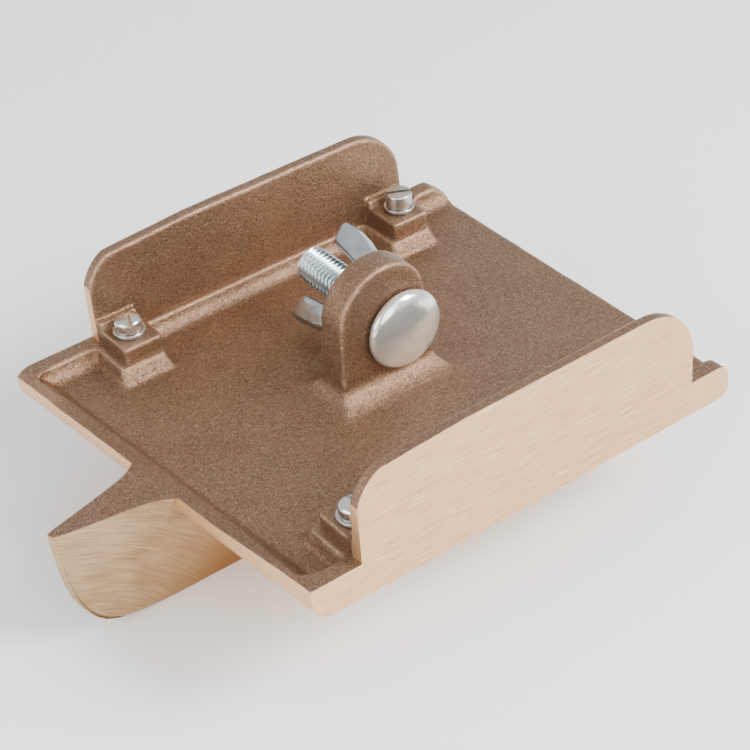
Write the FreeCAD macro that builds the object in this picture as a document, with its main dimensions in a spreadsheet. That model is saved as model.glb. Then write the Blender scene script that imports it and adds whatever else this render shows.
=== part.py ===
import FreeCAD, Part
import os
import Sketcher
from FreeCAD import Rotation, Vector

# A walking concrete groover head in cast bronze: a sole plate with a deep keel under it, two
# bolted-on side curbs, and a lug whose carriage bolt and wing nut clamp a long handle.
# X runs across the tool (along the bolt), Y along its travel with the prow at -Y, Z up.
# The origin is the middle of the whole outline, at the bottom of the keel.

os.makedirs("parts", exist_ok=True)
doc = FreeCAD.newDocument("groover_head")

# ---- Driving sizes, in millimetres and degrees -------------------------------------------
SIZES = [
    # the sole plate and its tray
    ("plate_width", 152.4, "across the ground sides"),
    ("plate_length", 172.0, "front edge to back edge, on the centre line"),
    ("plate_thick", 12.7, "sole to rail top"),
    ("front_skew", 5.5, "how far the left front corner leads and the right one trails"),
    ("toe_radius", 7.5, "rounding under the front edge"),
    ("heel_radius", 4.0, "rounding under the back edge"),
    ("rail_width", 6.3, "flat top of a side rail"),
    ("floor_drop", 5.5, "rail top down to the tray floor"),
    ("tray_radius", 4.0, "tray floor up into the rails"),
    ("rim_width", 7.0, "front edge back to the floor's crease"),
    ("rim_drop", 2.4, "rail top down to the front edge"),
    # the keel
    ("keel_depth", 35.8, "sole to keel bottom"),
    ("prow_reach", 37.7, "front edge forward to the prow tip"),
    ("prow_slope", 1.5, "fall of the prow's top towards its tip"),
    ("prow_half", 12.2, "half width of the prow's top at the front edge"),
    ("waist_half", 4.6, "half width of the keel at its waist"),
    ("waist_rise", 20.0, "keel bottom up to its waist"),
    ("foot_half", 2.6, "half width of the keel at its bottom"),
    ("tip_half", 1.7, "half width of the prow tip"),
    ("prow_lean", 3.0, "how far the prow's front edge falls back at the bottom"),
    ("prow_lift", 3.5, "rise of the bottom towards the prow"),
    ("prow_run", 8.0, "front edge back to where that rise starts"),
    ("prow_radius", 18.0, "rounding from the prow down to the bottom"),
    ("keel_gap", 8.0, "back edge to the keel's end"),
    ("keel_radius", 20.0, "rounding at the keel's back end"),
    ("keel_root", 4.2, "how far the keel reaches up into the plate"),
    # the side curbs, their feet and the bosses under them
    ("curb_start", 24.0, "front edge to a curb"),
    ("curb_length", 131.3, "along the tool"),
    ("curb_height", 33.0, "above the rail"),
    ("curb_thick", 4.0, "across the tool"),
    ("curb_radius", 20.0, "upper corners of a curb"),
    ("pad_reach", 18.0, "foot of a curb, inwards from the curb"),
    ("pad_length", 15.0, "foot of a curb, along the tool"),
    ("pad_height", 5.5, "foot of a curb, rail top to its top"),
    ("pad_inset", 4.0, "back foot, forward of the curb's back end"),
    ("boss_margin", 1.6, "ledge of a boss around the foot on it"),
    ("boss_draft", 2.2, "spread of a boss from its top to the floor"),
    ("root", 0.5, "how far the bosses and the lug reach into the floor"),
    # the handle lug
    ("lug_place", 87.2, "front edge to the lug's middle"),
    ("lug_length", 36.0, "along the tool, at its base"),
    ("lug_thick", 12.6, "across the tool"),
    ("lug_rise", 23.2, "rail top up to the centre of the lug's round top"),
    ("lug_radius", 16.2, "round top"),
    ("lug_fillet", 5.8, "base of the lug into the floor, below the bolt's head"),
    # the clamp bolt, 1/2-13, and its wing nut
    ("bolt_place", 93.6, "front edge to the bolt"),
    ("bolt_rise", 14.4, "rail top up to the bolt"),
    ("bolt_dia", 12.7, "thread and square neck"),
    ("bolt_length", 50.8, "under the head"),
    ("bolt_chamfer", 1.3, "at the bolt's end"),
    ("head_dia", 27.8, "round head"),
    ("head_height", 6.0, "seat to the top of its crown"),
    ("head_rim", 1.5, "straight edge of the head"),
    ("neck_length", 7.4, "square neck under the head"),
    ("neck_gap", 0.25, "neck to its square hole, each side"),
    ("nut_gap", 0.05, "nut's bore beyond the bolt's thread, in radius"),
    ("hub_dia", 21.0, "at its seat"),
    ("hub_taper", 1.5, "loss of radius up to its outer end"),
    ("hub_height", 11.0, "seat to the hub's outer end"),
    ("wing_spread", 38.4, "tip to tip, so that the wings clear the tray floor"),
    ("wing_height", 31.5, "seat to the wing tips"),
    ("wing_thick", 5.0, "across a wing"),
    ("wing_root", 1.6, "seat up to a wing, and thread out to it"),
    ("wing_turn", 47.0, "lean of the wings up from the tool's length"),
    # the curb screws, 1/4-20 fillister, and their split lock washers
    ("screw_dia", 6.35, "thread"),
    ("screw_length", 15.9, "under the head"),
    ("screw_chamfer", 0.7, "at the screw's end"),
    ("screw_head", 9.5, "diameter of the head"),
    ("screw_cap", 5.2, "height of the head"),
    ("screw_dome", 0.8, "crown of the head"),
    ("slot_width", 1.5, "driver slot"),
    ("slot_depth", 2.4, "driver slot, from the crown"),
    ("screw_inset", 13.2, "plate's side to a screw"),
    ("back_shift", 1.4, "back screws, behind the middle of their feet"),
    ("tap_gap", 0.03, "screw to the tapped wall, in radius"),
    ("tap_extra", 1.8, "tapped hole beyond the screw's end"),
    ("pad_hole", 7.1, "screw hole in a foot"),
    ("washer_dia", 11.2, "outside"),
    ("washer_bore", 6.6, "inside"),
    ("washer_thick", 1.6, "pressed flat"),
    ("washer_split", 0.9, "gap in the ring"),
]
sheet = doc.addObject("Spreadsheet::Sheet", "Sizes")
for row, (alias, value, note) in enumerate(SIZES, start=1):
    sheet.set("A%d" % row, alias)
    sheet.set("B%d" % row, str(value))
    sheet.set("C%d" % row, note)
    sheet.setAlias("B%d" % row, alias)
doc.recompute()

# Places that several pieces share, as expressions on the sheet.
FRONT = "(Sizes.prow_reach - Sizes.plate_length) / 2"
BACK = "(Sizes.prow_reach + Sizes.plate_length) / 2"
SOLE = "Sizes.keel_depth"
RAIL = "(Sizes.keel_depth + Sizes.plate_thick)"
FLOOR = "(%s - Sizes.floor_drop)" % RAIL
HALF = "(Sizes.plate_width / 2)"
FACE = "(Sizes.lug_thick / 2)"
SCREW_X = "(%s - Sizes.screw_inset)" % HALF
PAD_END = "(%s - Sizes.curb_thick - Sizes.pad_reach)" % HALF
PAD_START = {
    "front": "(%s + Sizes.curb_start)" % FRONT,
    "back": "(%s + Sizes.curb_start + Sizes.curb_length - Sizes.pad_inset - Sizes.pad_length)" % FRONT,
}
SCREW_Y = {
    "front": "(%s + Sizes.pad_length / 2)" % PAD_START["front"],
    "back": "(%s + Sizes.pad_length / 2 + Sizes.back_shift)" % PAD_START["back"],
}
SIDES = {"left": "-1", "right": "1"}
BOLT_Y = "(%s + Sizes.bolt_place)" % FRONT
BOLT_Z = "(%s + Sizes.bolt_rise)" % RAIL


def bind(thing, **expressions):
    """Bind properties to expressions; a double underscore stands for a dot."""
    for name, expression in expressions.items():
        thing.setExpression(name.replace("__", "."), str(expression))


def place(thing, across="0", along="0", up="0", rotation=None):
    """Put a thing at a place given by expressions."""
    if rotation is not None:
        thing.Placement = FreeCAD.Placement(Vector(), rotation)
    bind(thing, Placement__Base__x=across, Placement__Base__y=along, Placement__Base__z=up)
    return thing


def add(kind, name, **expressions):
    """Add a Part object with its sizes bound to the sheet."""
    thing = doc.addObject("Part::" + kind, name)
    bind(thing, **expressions)
    return thing


def draw(sketch, corners):
    """Draw a closed outline through corners given as pairs of expressions."""
    doc.recompute()
    points = []
    for pair in corners:
        values = [float(sketch.evalExpression(str(text))) for text in pair]
        points.append(Vector(values[0], values[1], 0))
    count = len(points)
    for index in range(count):
        sketch.addGeometry(Part.LineSegment(points[index], points[(index + 1) % count]))
    for index in range(count):
        sketch.addConstraint(Sketcher.Constraint("Coincident", index, 2, (index + 1) % count, 1))
    for index, pair in enumerate(corners):
        for kind, value, text in zip(("DistanceX", "DistanceY"), points[index], pair):
            number = sketch.addConstraint(Sketcher.Constraint(kind, -1, 1, index, 1, value))
            sketch.setExpression("Constraints[%d]" % number, str(text))
    return sketch


def free_sketch(name, corners, rotation=None):
    """A sketch that stands by itself; rotation turns it out of the XY plane."""
    sketch = doc.addObject("Sketcher::SketchObject", name)
    if rotation is not None:
        sketch.Placement = FreeCAD.Placement(Vector(), rotation)
    return draw(sketch, corners)


def extrusion(name, sketch, direction, length, middle=False):
    """Extrude a free sketch along a row axis."""
    thing = doc.addObject("Part::Extrusion", name)
    thing.Base = sketch
    thing.DirMode = "Custom"
    thing.Dir = direction
    thing.Solid = True
    thing.Symmetric = middle
    bind(thing, LengthFwd=length)
    return thing


def plane(body, role):
    """One of a body's own origin planes or axes."""
    return next(item for item in body.Origin.OriginFeatures if item.Role == role)


def body_sketch(body, name, role, corners, lift=None):
    """A sketch on one of a body's own planes, lifted off it where asked."""
    sketch = body.newObject("Sketcher::SketchObject", name)
    sketch.AttachmentSupport = [(plane(body, role), "")]
    sketch.MapMode = "FlatFace"
    if lift is not None:
        bind(sketch, AttachmentOffset__Base__z=lift)
    return draw(sketch, corners)


def pad(body, name, sketch, length, middle=False, back=False):
    """Pad a body's sketch."""
    feature = body.newObject("PartDesign::Pad", name)
    feature.Profile = sketch
    feature.Midplane = middle
    feature.Reversed = back
    bind(feature, Length=length)
    return feature


def fuse(name, things):
    joined = doc.addObject("Part::MultiFuse", name)
    joined.Shapes = things
    return joined


def cut(name, base, tool):
    result = doc.addObject("Part::Cut", name)
    result.Base = base
    result.Tool = tool
    return result


def rounded(name, base, radius, test):
    """Fillet the edges of a Part object that pass a test on their end points."""
    doc.recompute()
    result = doc.addObject("Part::Fillet", name)
    result.Base = base
    size = float(base.evalExpression(radius))
    picked = [n for n, edge in enumerate(base.Shape.Edges, start=1) if test(edge)]
    result.Edges = [(n, size, size) for n in picked]
    return result


def value(text):
    """The present value of an expression on the sheet."""
    return float(sheet.evalExpression(text))


def near(first, second):
    return abs(first - second) < 0.01


UPRIGHT = Rotation(Vector(0, 1, 0), Vector(0, 0, 1), Vector(1, 0, 0), "ZXY")  # sketch X, Y to row Y, Z
FACING = Rotation(Vector(1, 0, 0), Vector(0, 0, 1), Vector(0, -1, 0), "ZXY")  # sketch X, Y to row X, Z


# ---- Base casting: plate, tray, bosses, lug and keel in one piece of bronze -----------------
def make_plate():
    """The sole plate, hollowed to a tray that is open at the back."""
    plan = free_sketch("plate_plan", [
        ("-" + HALF, "%s - Sizes.front_skew" % FRONT),
        (HALF, "%s + Sizes.front_skew" % FRONT),
        (HALF, BACK),
        ("-" + HALF, BACK),
    ])
    place(plan, up=SOLE)
    slab = extrusion("plate_slab", plan, Vector(0, 0, 1), "Sizes.plate_thick")
    sole, back = value(SOLE), value(BACK)
    slab = rounded("slab_toe", slab, "Sizes.toe_radius",
                   lambda edge: near(edge.BoundBox.ZMax, sole) and edge.CenterOfMass.y < 0
                   and edge.BoundBox.XLength > edge.BoundBox.YLength)
    slab = rounded("slab_heel", slab, "Sizes.heel_radius",
                   lambda edge: near(edge.BoundBox.ZMax, sole) and near(edge.BoundBox.YMin, back))
    inner = "(%s - Sizes.rail_width)" % HALF
    lean = "Sizes.front_skew * %s / %s" % (inner, HALF)
    crease = "(%s + Sizes.rim_width)" % FRONT
    past_back = "(%s + Sizes.heel_radius * 2)" % BACK
    hollow_plan = free_sketch("tray_plan", [
        ("-" + inner, "%s - %s" % (crease, lean)),
        (inner, "%s + %s" % (crease, lean)),
        (inner, past_back),
        ("-" + inner, past_back),
    ])
    place(hollow_plan, up=FLOOR)
    hollow = extrusion("tray_hollow", hollow_plan, Vector(0, 0, 1), "Sizes.floor_drop * 2")
    floor = value(FLOOR)
    hollow = rounded("tray_rounding", hollow, "Sizes.tray_radius",
                     lambda edge: near(edge.BoundBox.ZMax, floor)
                     and edge.BoundBox.XLength < edge.BoundBox.YLength)
    # the front rim: a slope from the floor's crease up to the front edge
    ramp_plan = free_sketch("rim_section", [
        ("%s - Sizes.rim_width" % FRONT, "%s - Sizes.rim_drop * 2 + Sizes.floor_drop" % RAIL),
        (crease, FLOOR),
        (crease, "%s + Sizes.floor_drop" % RAIL),
        ("%s - Sizes.rim_width" % FRONT, "%s + Sizes.floor_drop" % RAIL),
    ], UPRIGHT)
    bind(ramp_plan, Placement__Base__x="-" + inner)
    ramp = doc.addObject("Part::Extrusion", "rim_slope")
    ramp.Base = ramp_plan
    ramp.DirMode = "Custom"
    ramp.Solid = True
    bind(ramp, Dir__x=inner, Dir__y=lean, LengthFwd="2 * sqrt((%s)^2 + (%s)^2)" % (inner, lean))
    place(ramp, along="-" + lean)
    return cut("plate", slab, fuse("tray_space", [hollow, ramp]))


def make_boss(side, end):
    """A drafted boss that carries one foot of a curb."""
    inner = "(%s - Sizes.boss_margin)" % PAD_END
    outer = "(%s - Sizes.rail_width / 2)" % HALF
    across = "((%s - %s) / 2)" % (outer, inner)
    along = "(Sizes.pad_length / 2 + Sizes.boss_margin)"
    boss = add("Wedge", "boss_%s_%s" % (end, side),
               Xmin="-%s - Sizes.boss_draft" % across, Xmax="%s + Sizes.boss_draft" % across,
               Zmin="-%s - Sizes.boss_draft" % along, Zmax="%s + Sizes.boss_draft" % along,
               X2min="-" + across, X2max=across, Z2min="-" + along, Z2max=along,
               Ymin="-Sizes.root", Ymax="Sizes.floor_drop")
    return place(boss, "%s * (%s + %s) / 2" % (SIDES[side], inner, outer),
                 "%s + Sizes.pad_length / 2" % PAD_START[end], FLOOR, FACING)


def make_lug():
    """The upright lug: tapered sides under a round top."""
    centre = "(%s + Sizes.lug_place)" % FRONT
    peak = "(%s + Sizes.lug_rise)" % RAIL
    section = free_sketch("lug_section", [
        ("%s - Sizes.lug_length / 2" % centre, "%s - Sizes.root" % FLOOR),
        ("%s + Sizes.lug_length / 2" % centre, "%s - Sizes.root" % FLOOR),
        ("%s + Sizes.lug_radius" % centre, peak),
        ("%s - Sizes.lug_radius" % centre, peak),
    ], UPRIGHT)
    post = extrusion("lug_post", section, Vector(1, 0, 0), "Sizes.lug_thick", middle=True)
    top = add("Cylinder", "lug_top", Radius="Sizes.lug_radius", Height="Sizes.lug_thick")
    place(top, "-" + FACE, centre, peak, Rotation(Vector(0, 1, 0), 90))
    return fuse("lug", [post, top])


def make_keel():
    """The keel: one flared section along the tool, narrowing to the prow, cut to its side view."""
    top = "(%s - Sizes.rim_drop)" % RAIL
    prow_tip = "%s - Sizes.prow_reach" % FRONT
    keel_back = "%s - Sizes.keel_gap" % BACK
    buried = "%s + Sizes.keel_root" % SOLE

    def section(name, head, waist, base):
        """Half widths at the top, at the waist and at the bottom."""
        return free_sketch(name, [
            ("-" + base, "0"), (base, "0"), (waist, "Sizes.waist_rise"), (head, top),
            ("-" + head, top), ("-" + waist, "Sizes.waist_rise"),
        ], FACING)

    broad = section("keel_section", "Sizes.prow_half", "Sizes.waist_half", "Sizes.foot_half")
    place(broad, along=FRONT)
    run = extrusion("keel_run", broad, Vector(0, 1, 0), "Sizes.plate_length - Sizes.keel_gap")
    slim = section("prow_section", "Sizes.tip_half", "Sizes.tip_half", "Sizes.tip_half")
    place(slim, along=prow_tip)
    prow = doc.addObject("Part::Loft", "prow_loft")
    prow.Sections = [slim, broad]
    prow.Solid = True
    prow.Ruled = True
    side = free_sketch("keel_side_view", [
        (prow_tip + " + Sizes.prow_lean", "Sizes.prow_lift"),
        ("%s + Sizes.prow_run" % FRONT, "0"),
        (keel_back, "0"),
        (keel_back, buried),
        (FRONT, buried),
        (FRONT, top),
        (prow_tip, "%s - Sizes.prow_slope" % top),
    ], UPRIGHT)
    shape = extrusion("keel_shape", side, Vector(1, 0, 0), "Sizes.prow_half * 4", middle=True)
    prow_end, keel_end = value(prow_tip + " + Sizes.prow_lean"), value(keel_back)
    shape = rounded("keel_forefoot", shape, "Sizes.prow_radius",
                    lambda edge: edge.CenterOfMass.z < value(SOLE) / 2
                    and near(edge.CenterOfMass.y, prow_end))
    shape = rounded("keel_heel", shape, "Sizes.keel_radius",
                    lambda edge: near(edge.CenterOfMass.z, 0) and near(edge.CenterOfMass.y, keel_end))
    keel = doc.addObject("Part::Common", "keel")
    keel.Base = fuse("keel_blank", [run, prow])
    keel.Tool = shape
    return keel


def make_base():
    """Join the casting, round the lug's foot, then tap it for the screws and pierce the lug."""
    bosses = [make_boss(side, end) for side in SIDES for end in PAD_START]
    joined = fuse("base_blank", [make_plate(), make_lug(), make_keel()] + bosses)
    doc.recompute()
    floor, middle, reach = value(FLOOR), value("%s + Sizes.lug_place" % FRONT), value("Sizes.lug_length")
    cast = rounded("lug_foot", joined, "Sizes.lug_fillet",
                   lambda edge: near(edge.BoundBox.ZMax, floor) and near(edge.BoundBox.ZMin, floor)
                   and abs(edge.CenterOfMass.y - middle) < reach and abs(edge.CenterOfMass.x) < reach)
    depth = "(Sizes.screw_length - Sizes.washer_thick - Sizes.pad_height + Sizes.tap_extra)"
    holes = []
    for side, sign in SIDES.items():
        for end in SCREW_Y:
            hole = add("Cylinder", "tapping_%s_%s" % (end, side),
                       Radius="Sizes.screw_dia / 2 + Sizes.tap_gap", Height=depth + " + Sizes.root")
            holes.append(place(hole, "%s * %s" % (sign, SCREW_X), SCREW_Y[end], "%s - %s" % (RAIL, depth)))
    square = add("Box", "neck_hole", Length="Sizes.lug_thick * 2",
                 Width="Sizes.bolt_dia + 2 * Sizes.neck_gap", Height="Sizes.bolt_dia + 2 * Sizes.neck_gap")
    half = "(Sizes.bolt_dia / 2 + Sizes.neck_gap)"
    place(square, "-Sizes.lug_thick", "%s - %s" % (BOLT_Y, half), "%s - %s" % (BOLT_Z, half))
    base = cut("base", cast, fuse("base_openings", holes + [square]))
    base.Label = "base_casting"
    return base


# ---- Side curbs: an upright plate with two feet, screwed down onto the bosses ---------------
def make_curb(side):
    """One curb; its outer face is flush with the ground side of the plate."""
    sign = SIDES[side]
    start = "(%s + Sizes.curb_start)" % FRONT
    stop = "(%s + Sizes.curb_length)" % start
    top = "%s + Sizes.curb_height" % RAIL
    body = doc.addObject("PartDesign::Body", "curb_" + side)
    outline = body_sketch(body, "curb_outline_" + side, "YZ_Plane", [
        (start, RAIL), (stop, RAIL), (stop, top), (start, top),
    ], "%s * %s" % (sign, HALF))
    wall = pad(body, "curb_wall_" + side, outline, "Sizes.curb_thick", back=side == "right")
    doc.recompute()
    names = ["Edge%d" % n for n, edge in enumerate(wall.Shape.Edges, start=1)
             if near(edge.CenterOfMass.z, value(top)) and near(edge.BoundBox.YLength, 0)]
    corners = body.newObject("PartDesign::Fillet", "curb_corners_" + side)
    corners.Base = (wall, names)
    bind(corners, Radius="Sizes.curb_radius")
    tip, root = "%s * %s" % (sign, PAD_END), "%s * (%s - Sizes.curb_thick / 2)" % (sign, HALF)
    for end, near_end in PAD_START.items():
        far_end = "(%s + Sizes.pad_length)" % near_end
        foot = body_sketch(body, "foot_%s_%s" % (end, side), "XY_Plane", [
            (tip, near_end), (root, near_end), (root, far_end), (tip, far_end),
        ], RAIL)
        pad(body, "foot_block_%s_%s" % (end, side), foot, "Sizes.pad_height")
    doc.recompute()
    drill = body.newObject("Sketcher::SketchObject", "foot_drilling_" + side)
    drill.AttachmentSupport = [(plane(body, "XY_Plane"), "")]
    drill.MapMode = "FlatFace"
    bind(drill, AttachmentOffset__Base__z=RAIL)
    across, radius = "%s * %s" % (sign, SCREW_X), "Sizes.pad_hole / 2"
    for index, along in enumerate(SCREW_Y.values()):
        drill.addGeometry(Part.Circle(Vector(value(across), value(along), 0), Vector(0, 0, 1), value(radius)))
        for kind, text in (("DistanceX", across), ("DistanceY", along)):
            number = drill.addConstraint(Sketcher.Constraint(kind, -1, 1, index, 3, value(text)))
            drill.setExpression("Constraints[%d]" % number, text)
        number = drill.addConstraint(Sketcher.Constraint("Radius", index, value(radius)))
        drill.setExpression("Constraints[%d]" % number, radius)
    holes = body.newObject("PartDesign::Pocket", "foot_holes_" + side)
    holes.Profile = drill
    holes.Reversed = True
    bind(holes, Length="Sizes.pad_height * 2")
    body.Label = "side_plate_" + side
    return body


# ---- Curb screws: slotted fillister heads, and the split lock washers under them ------------
def make_screw(side, end):
    body = doc.addObject("PartDesign::Body", "screw_%s_%s" % (end, side))
    profile = body_sketch(body, "screw_profile_%s_%s" % (end, side), "XZ_Plane", [
        ("0", "-Sizes.screw_length"),
        ("Sizes.screw_dia / 2 - Sizes.screw_chamfer", "-Sizes.screw_length"),
        ("Sizes.screw_dia / 2", "-Sizes.screw_length + Sizes.screw_chamfer"),
        ("Sizes.screw_dia / 2", "0"),
        ("Sizes.screw_head / 2", "0"),
        ("Sizes.screw_head / 2", "Sizes.screw_cap - Sizes.screw_dome"),
        ("Sizes.screw_head / 4", "Sizes.screw_cap - Sizes.screw_dome / 4"),
        ("0", "Sizes.screw_cap"),
    ])
    turned = body.newObject("PartDesign::Revolution", "screw_turned_%s_%s" % (end, side))
    turned.Profile = profile
    turned.ReferenceAxis = (plane(body, "Z_Axis"), [""])
    slot_sketch = body_sketch(body, "slot_sketch_%s_%s" % (end, side), "XY_Plane", [
        ("-Sizes.screw_head", "-Sizes.slot_width / 2"), ("Sizes.screw_head", "-Sizes.slot_width / 2"),
        ("Sizes.screw_head", "Sizes.slot_width / 2"), ("-Sizes.screw_head", "Sizes.slot_width / 2"),
    ], "Sizes.screw_cap - Sizes.slot_depth")
    slot = body.newObject("PartDesign::Pocket", "slot_%s_%s" % (end, side))
    slot.Profile = slot_sketch
    slot.Reversed = True
    bind(slot, Length="Sizes.slot_depth * 2")
    seat = "%s + Sizes.pad_height + Sizes.washer_thick" % RAIL
    return place(body, "%s * %s" % (SIDES[side], SCREW_X), SCREW_Y[end], seat)


def make_washer(side, end):
    tag = "%s_%s" % (end, side)
    ring = add("Cylinder", "washer_ring_" + tag, Radius="Sizes.washer_dia / 2", Height="Sizes.washer_thick")
    bore = add("Cylinder", "washer_bore_" + tag, Radius="Sizes.washer_bore / 2", Height="Sizes.washer_thick")
    split = add("Box", "washer_gap_" + tag, Length="Sizes.washer_dia",
                Width="Sizes.washer_split", Height="Sizes.washer_thick")
    place(split, along="-Sizes.washer_split / 2")
    washer = cut("washer_" + tag, ring, fuse("washer_cuts_" + tag, [bore, split]))
    place(washer, "%s * %s" % (SIDES[side], SCREW_X), SCREW_Y[end], "%s + Sizes.pad_height" % RAIL)
    washer.Label = "lock_washer_" + tag
    return washer


# ---- Clamp: a square-necked carriage bolt through the lug, and its wing nut -----------------
# the head's crown: shares of its radius, and of its rise above the straight edge
CROWN = [(1, 0), (0.8, 0.36), (0.5, 0.76), (0.2, 0.96), (0, 1)]
# beyond the hub, a wing: shares of half the spread, and of the height above the seat
WING = [(0.84, 0.5), (1, 0.72), (0.97, 0.9), (0.84, 1), (0.66, 0.95)]


def make_bolt():
    """The bolt, with its thread shown at its outer diameter and its head on the right."""
    body = doc.addObject("PartDesign::Body", "carriage_bolt")
    rise = "(Sizes.head_height - Sizes.head_rim)"
    crown = [("Sizes.head_dia / 2 * %s" % out, "Sizes.head_rim + %s * %s" % (rise, up)) for out, up in CROWN]
    profile = body_sketch(body, "bolt_profile", "XZ_Plane", [
        ("0", "-Sizes.bolt_length"),
        ("Sizes.bolt_dia / 2 - Sizes.bolt_chamfer", "-Sizes.bolt_length"),
        ("Sizes.bolt_dia / 2", "-Sizes.bolt_length + Sizes.bolt_chamfer"),
        ("Sizes.bolt_dia / 2", "0"),
        ("Sizes.head_dia / 2", "0"),
    ] + crown)
    turned = body.newObject("PartDesign::Revolution", "bolt_turned")
    turned.Profile = profile
    turned.ReferenceAxis = (plane(body, "Z_Axis"), [""])
    neck = body_sketch(body, "neck_square", "XY_Plane", [
        ("-Sizes.bolt_dia / 2", "-Sizes.bolt_dia / 2"), ("Sizes.bolt_dia / 2", "-Sizes.bolt_dia / 2"),
        ("Sizes.bolt_dia / 2", "Sizes.bolt_dia / 2"), ("-Sizes.bolt_dia / 2", "Sizes.bolt_dia / 2"),
    ])
    pad(body, "square_neck", neck, "Sizes.neck_length", back=True)
    return place(body, FACE, BOLT_Y, BOLT_Z, Rotation(Vector(0, 1, 0), 90))


def make_wing_nut():
    """The wing nut, seated on the lug's left face with its wings leaning outwards."""
    body = doc.addObject("PartDesign::Body", "wing_nut")
    profile = body_sketch(body, "hub_profile", "XZ_Plane", [
        ("0", "0"), ("Sizes.hub_dia / 2", "0"),
        ("Sizes.hub_dia / 2 - Sizes.hub_taper", "Sizes.hub_height"), ("0", "Sizes.hub_height"),
    ])
    hub = body.newObject("PartDesign::Revolution", "hub")
    hub.Profile = profile
    hub.ReferenceAxis = (plane(body, "Z_Axis"), [""])
    inside = "(Sizes.bolt_dia / 2 + Sizes.wing_root)"
    for name, sign in (("one", ""), ("other", "-")):
        paddle = [("%sSizes.wing_spread / 2 * %s" % (sign, out), "Sizes.wing_height * %s" % up)
                  for out, up in WING]
        wing = body_sketch(body, "wing_outline_" + name, "XZ_Plane", [
            (sign + inside, "Sizes.wing_root"),
            (sign + "Sizes.hub_dia / 2", "Sizes.wing_root"),
        ] + paddle + [
            (sign + "(Sizes.hub_dia / 2 - Sizes.hub_taper)", "Sizes.hub_height"),
            (sign + inside, "Sizes.hub_height"),
        ])
        pad(body, "wing_" + name, wing, "Sizes.wing_thick", middle=True)
    doc.recompute()
    bore = body.newObject("Sketcher::SketchObject", "bore_circle")
    bore.AttachmentSupport = [(plane(body, "XY_Plane"), "")]
    bore.MapMode = "FlatFace"
    bore.addGeometry(Part.Circle(Vector(), Vector(0, 0, 1), value("Sizes.bolt_dia / 2")))
    bore.addConstraint(Sketcher.Constraint("Coincident", -1, 1, 0, 3))
    number = bore.addConstraint(Sketcher.Constraint("Radius", 0, value("Sizes.bolt_dia / 2")))
    bore.setExpression("Constraints[%d]" % number, "Sizes.bolt_dia / 2 + Sizes.nut_gap")
    hole = body.newObject("PartDesign::Pocket", "bore")
    hole.Profile = bore
    hole.Reversed = True
    bind(hole, Length="Sizes.wing_height")
    turn = Rotation(Vector(1, 0, 0), value("Sizes.wing_turn")).multiply(
        Rotation(Vector(0, 1, 0), Vector(0, 0, 1), Vector(-1, 0, 0), "ZXY"))
    return place(body, "-" + FACE, BOLT_Y, BOLT_Z, turn)


pieces = [make_base()]
for side in SIDES:
    pieces.append(make_curb(side))
    for end in PAD_START:
        pieces.append(make_screw(side, end))
        pieces.append(make_washer(side, end))
pieces.append(make_bolt())
pieces.append(make_wing_nut())
doc.recompute()

# ---- Check everything, then write one file for each piece -----------------------------------
for thing in doc.Objects:
    faults = [state for state in thing.State if state in ("Invalid", "Error")]
    if faults:
        raise RuntimeError("%s is %s" % (thing.Name, faults))
for piece in pieces:
    if piece.Shape.isNull() or not piece.Shape.isValid() or len(piece.Shape.Solids) != 1:
        raise RuntimeError("%s has no single valid solid" % piece.Label)
for piece in pieces:
    piece.Shape.exportStep("parts/%s.step" % piece.Label)
    print("%-26s %10.1f mm3" % (piece.Label, piece.Shape.Volume))
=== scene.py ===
import math

import bmesh
import bpy
from mathutils import Matrix, Vector


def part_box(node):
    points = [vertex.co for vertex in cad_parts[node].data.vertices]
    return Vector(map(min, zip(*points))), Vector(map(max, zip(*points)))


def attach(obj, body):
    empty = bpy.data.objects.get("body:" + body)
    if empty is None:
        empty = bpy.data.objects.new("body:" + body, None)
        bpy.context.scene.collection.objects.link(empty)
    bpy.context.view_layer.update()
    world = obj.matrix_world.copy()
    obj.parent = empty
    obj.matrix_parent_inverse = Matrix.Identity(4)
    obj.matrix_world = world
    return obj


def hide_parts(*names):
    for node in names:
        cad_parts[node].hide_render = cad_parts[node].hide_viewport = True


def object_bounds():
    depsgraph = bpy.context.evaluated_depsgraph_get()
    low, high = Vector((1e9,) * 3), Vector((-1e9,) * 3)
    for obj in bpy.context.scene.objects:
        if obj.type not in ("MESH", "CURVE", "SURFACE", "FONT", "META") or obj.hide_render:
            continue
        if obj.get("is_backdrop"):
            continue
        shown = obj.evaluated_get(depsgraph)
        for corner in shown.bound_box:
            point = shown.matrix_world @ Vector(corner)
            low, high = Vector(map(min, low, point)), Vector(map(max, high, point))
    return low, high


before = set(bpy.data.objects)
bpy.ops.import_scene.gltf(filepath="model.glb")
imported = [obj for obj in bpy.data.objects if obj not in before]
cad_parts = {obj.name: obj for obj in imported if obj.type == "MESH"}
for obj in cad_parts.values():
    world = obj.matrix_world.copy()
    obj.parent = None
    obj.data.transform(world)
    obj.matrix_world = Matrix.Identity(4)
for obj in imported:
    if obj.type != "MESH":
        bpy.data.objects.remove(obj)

cad_low, cad_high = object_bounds()
mm = 0.001

# ---- Camera: a long lens, above the tool's right front corner ------------------------------
# It looks down along the tool from the prow's side, rolled a little, so that the keel, the
# front edge, the whole tray and the right curb's ground face all show.
camera_data = bpy.data.cameras.new("camera")
camera = bpy.data.objects.new("camera", camera_data)
bpy.context.collection.objects.link(camera)
bpy.context.scene.camera = camera
camera_data.sensor_width = 36.0
camera_data.lens = 102.07
camera.location = (0.46282, -0.29834, 0.45968)
to_right = Vector((0.6015, 0.7965, -0.0621))
to_down = Vector((0.4461, -0.3993, -0.8009))
ahead = Vector((-0.6627, 0.4541, -0.5955))
camera.rotation_euler = Matrix((to_right, -to_down, -ahead)).transposed().to_euler()
camera_data.clip_start = 0.05
camera_data.clip_end = 20.0


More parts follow.
